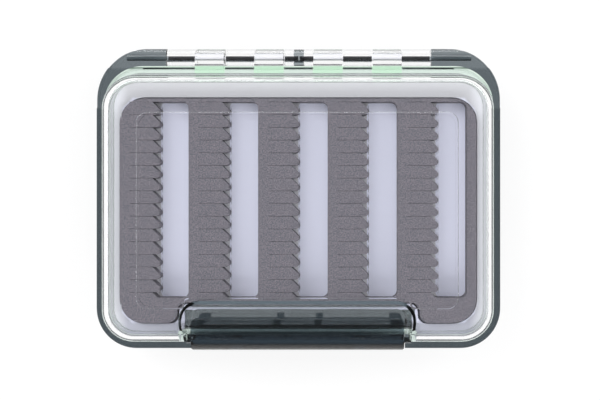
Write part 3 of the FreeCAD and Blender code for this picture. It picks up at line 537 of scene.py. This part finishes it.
def foam_tree():
    """Node tree that repeats the tooth along a window and the window along the sheet."""
    tree = bpy.data.node_groups.new("slit_foam", "GeometryNodeTree")
    sockets = tree.interface
    sockets.new_socket("Outline", in_out="INPUT", socket_type="NodeSocketGeometry")
    for name, kind in (
        ("Tooth", "NodeSocketObject"),
        ("Window Sides", "NodeSocketObject"),
        ("Tooth Count", "NodeSocketInt"),
        ("Tooth Pitch", "NodeSocketFloat"),
        ("Window Count", "NodeSocketInt"),
        ("Window Pitch", "NodeSocketFloat"),
        ("Window Corner", "NodeSocketVector"),
        ("Thickness", "NodeSocketFloat"),
        ("Material", "NodeSocketMaterial"),
    ):
        sockets.new_socket(name, in_out="INPUT", socket_type=kind)
    sockets.new_socket("Foam", in_out="OUTPUT", socket_type="NodeSocketGeometry")
    given = tree.nodes.new("NodeGroupInput")
    result = tree.nodes.new("NodeGroupOutput")

    def add(kind, **inputs):
        node = tree.nodes.new(kind)
        for name, source in inputs.items():
            socket = node.inputs[name.replace("_", " ")]
            if isinstance(source, bpy.types.NodeSocket):
                tree.links.new(source, socket)
            else:
                socket.default_value = source
        return node

    def join(*parts):
        node = tree.nodes.new("GeometryNodeJoinGeometry")
        for part in parts:
            tree.links.new(part, node.inputs["Geometry"])
        return node.outputs["Geometry"]

    def repeat(count, start, offset, geometry):
        line = add("GeometryNodeMeshLine", Count=count, Start_Location=start, Offset=offset)
        placed = add("GeometryNodeInstanceOnPoints", Points=line.outputs["Mesh"], Instance=geometry)
        return add("GeometryNodeRealizeInstances", Geometry=placed.outputs["Instances"]).outputs["Geometry"]

    def weld(geometry):
        node = add("GeometryNodeMergeByDistance", Geometry=geometry, Distance=weld_reach)
        return node.outputs["Geometry"]

    tooth = add("GeometryNodeObjectInfo", Object=given.outputs["Tooth"])
    sides = add("GeometryNodeObjectInfo", Object=given.outputs["Window Sides"])
    down = add("ShaderNodeMath", Value=given.outputs["Tooth Pitch"])
    down.operation = "MULTIPLY"
    down.inputs[1].default_value = -1.0
    tooth_step = add("ShaderNodeCombineXYZ", Y=down.outputs["Value"])
    teeth = repeat(
        given.outputs["Tooth Count"], (0, 0, 0), tooth_step.outputs["Vector"], tooth.outputs["Geometry"]
    )
    window = weld(join(teeth, sides.outputs["Geometry"]))
    window_step = add("ShaderNodeCombineXYZ", X=given.outputs["Window Pitch"])
    windows = repeat(
        given.outputs["Window Count"], given.outputs["Window Corner"], window_step.outputs["Vector"], window
    )
    edges = add("GeometryNodeMeshToCurve", Mesh=join(given.outputs["Outline"], windows))
    face = add("GeometryNodeFillCurve", Curve=edges.outputs["Curve"])
    up = add("ShaderNodeCombineXYZ", Z=given.outputs["Thickness"])
    raised = add("GeometryNodeExtrudeMesh", Mesh=face.outputs["Mesh"], Offset=up.outputs["Vector"])
    raised.inputs["Individual"].default_value = False
    under = add("GeometryNodeFlipFaces", Mesh=face.outputs["Mesh"])
    whole = weld(join(raised.outputs["Mesh"], under.outputs["Mesh"]))
    painted = add("GeometryNodeSetMaterial", Geometry=whole, Material=given.outputs["Material"])
    realized = add("GeometryNodeRealizeInstances", Geometry=painted.outputs["Geometry"])
    tree.links.new(realized.outputs["Geometry"], result.inputs["Foam"])
    return tree


def color_ramp(tree, noise, ends, first, second):
    """Colours between two, over a range of the noise."""
    ramp = tree.nodes.new("ShaderNodeValToRGB")
    for stop, position, color in zip(ramp.color_ramp.elements, ends, (first, second)):
        stop.position = position
        stop.color = color
    tree.links.new(noise.outputs["Fac"], ramp.inputs["Fac"])
    return ramp.outputs["Color"]


def grey_foam():
    """Grey closed-cell foam: fine speckle of warm and cool cells and a soft, dry surface."""
    material, tree, shader = start_material("grey_foam")
    cells = place_on(tree, foam_cell_scale)
    blotches = place_on(tree, foam_blotch_scale)
    tone = tree.nodes.new("ShaderNodeMix")
    tone.data_type = "RGBA"
    tone.blend_type = "MULTIPLY"
    tone.inputs["Factor"].default_value = foam_blotch_share
    speckle = color_ramp(tree, cells, foam_cell_range, foam_cell_dark, foam_cell_light)
    shade = color_ramp(tree, blotches, foam_blotch_range, foam_blotch_dark, foam_blotch_light)
    tree.links.new(speckle, tone.inputs["A"])
    tree.links.new(shade, tone.inputs["B"])
    tree.links.new(tone.outputs["Result"], shader.inputs["Base Color"])
    vary_roughness(tree, shader, blotches, *foam_roughness)
    raise_grain(tree, shader, cells, foam_relief)
    return material


def set_input(modifier, name, value):
    """Set a named input of a node modifier by its socket's identifier."""
    for item in modifier.node_group.interface.items_tree:
        if item.name == name and item.in_out == "INPUT":
            modifier[item.identifier] = value


def make_foam_mesh():
    """Foam sheet of the upper side, standing on height zero."""
    foam_low, foam_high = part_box("top_foam")
    sheet = foam_outline()
    tooth = one_tooth()
    sides = window_sides()
    repeat_teeth = sheet.modifiers.new("slit_foam", "NODES")
    repeat_teeth.node_group = foam_tree()
    for name, value in (
        ("Tooth", tooth),
        ("Window Sides", sides),
        ("Tooth Count", tooth_count - 1),
        ("Tooth Pitch", tooth_pitch),
        ("Window Count", window_count),
        ("Window Pitch", window_pitch),
        ("Window Corner", (window_face, window_rear, 0)),
        ("Thickness", foam_high.z - foam_low.z),
        ("Material", grey_foam()),
    ):
        set_input(repeat_teeth, name, value)
    soften = sheet.modifiers.new("soften", "BEVEL")
    soften.width = foam_edge_round
    soften.segments = bevel_steps
    soften.limit_method = "ANGLE"
    soften.angle_limit = math.radians(bevel_from_angle)
    soften.use_clamp_overlap = False
    evaluated = sheet.evaluated_get(bpy.context.evaluated_depsgraph_get())
    mesh = bpy.data.meshes.new_from_object(evaluated)
    sheet.modifiers.clear()
    for helper in (sheet, tooth, sides):
        bpy.data.objects.remove(helper, do_unlink=True)
    mesh.transform(Matrix.Translation((0, 0, foam_low.z)))
    return mesh


def lay_foam(name, mesh, node):
    foam = bpy.data.objects.new(name, mesh)
    bpy.context.scene.collection.objects.link(foam)
    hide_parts(node)
    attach(foam, "frame")


turned_over = Matrix.Translation((0, 0, 2 * middle.z)) @ Matrix.Rotation(math.pi, 4, "Y")
upper_foam_mesh = make_foam_mesh()
lower_foam_mesh = upper_foam_mesh.copy()
lower_foam_mesh.transform(turned_over)
lay_foam("upper_slit_foam", upper_foam_mesh, "top_foam")
lay_foam("lower_slit_foam", lower_foam_mesh, "bottom_foam")


# Gaskets: soft green rubber, pressed into the groove of each lid's foot. The lid closes
# it on the tray's rim. Its green is painted strongest where the upper lid's arms cross over it
# and paler elsewhere, as painted reflection of the clear lid over it. Between the arms a
# dark band is painted shade of its groove.
gasket_green = (0.50, 0.70, 0.53, 1)
gasket_painted_pale = (0.56, 0.65, 0.58, 1)
gasket_groove_shade = (0.05, 0.09, 0.065, 1)
groove_start = 0.0414
groove_deep = 0.0420
groove_end = 0.0421
groove_lip = 0.0423
arm_spacing = 0.0095
arm_half = 0.0048
arm_zone_rear = 0.040
arm_zone_half = 0.038
rubber_wear_scale = 900.0
rubber_roughness = (0.5, 0.7)
rubber_grain_scale = 3000.0


def under_the_arms(tree):
    """One in the stretches along the hinge where the upper lid has its arms, else zero."""
    size = calculate(tree, "ABSOLUTE", place_parts(tree)["X"], 0.0)
    near_arm = calculate(tree, "PINGPONG", size, arm_spacing)
    crossed = calculate(tree, "GREATER_THAN", near_arm, arm_spacing - arm_half)
    between_blocks = calculate(tree, "LESS_THAN", size, arm_zone_half)
    return calculate(tree, "MULTIPLY", crossed, between_blocks)


def green_rubber():
    material, tree, shader = start_material("green_rubber")
    to_the_rear = place_parts(tree)["Y"]
    at_rear = calculate(tree, "GREATER_THAN", to_the_rear, arm_zone_rear)
    crossed = calculate(tree, "MULTIPLY", at_rear, under_the_arms(tree))
    # Pale away from the arms: painted reflection of the clear lid over the rubber.
    color = blend(tree, crossed, gasket_painted_pale, gasket_green)
    # Dark band near the groove's lip, between the arms: painted shade.
    rising = spread(tree, to_the_rear, groove_start, groove_deep, 0.0, 1.0)
    ending = spread(tree, to_the_rear, groove_end, groove_lip, 1.0, 0.0)
    shade = calculate(tree, "MULTIPLY", rising, ending)
    shade = calculate(tree, "MULTIPLY", shade, calculate(tree, "SUBTRACT", 1.0, crossed))
    color = blend(tree, shade, color, gasket_groove_shade)
    tree.links.new(color, shader.inputs["Base Color"])
    roughen(tree, shader, rubber_wear_scale, rubber_roughness, rubber_grain_scale, fine_relief)
    return material


gasket_finish = green_rubber()
dress("top_gasket", gasket_finish)
dress("bottom_gasket", gasket_finish)


# Lids: clear injection-moulded plastic domes with a raised panel. Each hangs on its own
# knuckles on the shared hinge line.
lid_polish = (0.0, 0.05)
lid_passing = (0.97, 0.97, 0.98, 1)
lid_bending = 1.46
clear_plastic = see_through_plastic("clear_plastic", lid_polish, lid_passing, bending=lid_bending)
dress("top_lid", clear_plastic)
dress("bottom_lid", clear_plastic)


# Latches: smoke-tinted snap latches, darker than the ring. Each turns on its own pin
# and hooks over the ledge in its lid.
latch_tint = (0.20, 0.31, 0.38, 1)
latch_density = 850.0
latch_shine = 0.2
latch_polish = (0.08, 0.16)
latch_passing = (0.5, 0.55, 0.58, 1)
latch_plastic = see_through_plastic(
    "latch_smoke_plastic", latch_polish, latch_passing, latch_tint, latch_density
)
latch_shader = latch_plastic.node_tree.nodes["Principled BSDF"]
latch_shader.inputs["Specular IOR Level"].default_value = latch_shine
dress("top_latch", latch_plastic)
dress("bottom_latch", latch_plastic)


# Pins: drawn steel wire. Two meet in the frame's middle rib and carry both lids, and one
# goes through the barrels of each latch. The stretches under the upper lid's arms are painted
# pale and those inside the hinge blocks a lighter grey, not metal: painted light, for how
# they look through the clear plastic and the smoke.
steel_dark = (0.13, 0.13, 0.14, 1)
steel_painted_pale = (0.86, 0.86, 0.88, 1)
steel_painted_grey = (0.42, 0.45, 0.46, 1)
block_start = 0.0425
steel_wear_scale = 1200.0
steel_roughness = (0.25, 0.45)
steel_grain_scale = 4000.0
steel_relief = 0.000004


def dark_steel():
    material, tree, shader = start_material("dark_steel")
    size = calculate(tree, "ABSOLUTE", place_parts(tree)["X"], 0.0)
    in_the_block = calculate(tree, "GREATER_THAN", size, block_start)
    # Pale under the arms and grey in the blocks: painted light on the steel.
    color = blend(tree, under_the_arms(tree), steel_dark, steel_painted_pale)
    color = blend(tree, in_the_block, color, steel_painted_grey)
    tree.links.new(color, shader.inputs["Base Color"])
    painted_stretches = calculate(tree, "MAXIMUM", in_the_block, under_the_arms(tree))
    metal_share = calculate(tree, "SUBTRACT", 1.0, painted_stretches)
    tree.links.new(metal_share, shader.inputs["Metallic"])
    roughen(tree, shader, steel_wear_scale, steel_roughness, steel_grain_scale, steel_relief)
    return material


steel = dark_steel()
for pin in ("hinge_pin_left", "hinge_pin_right", "top_latch_pin", "bottom_latch_pin"):
    dress(pin, steel)
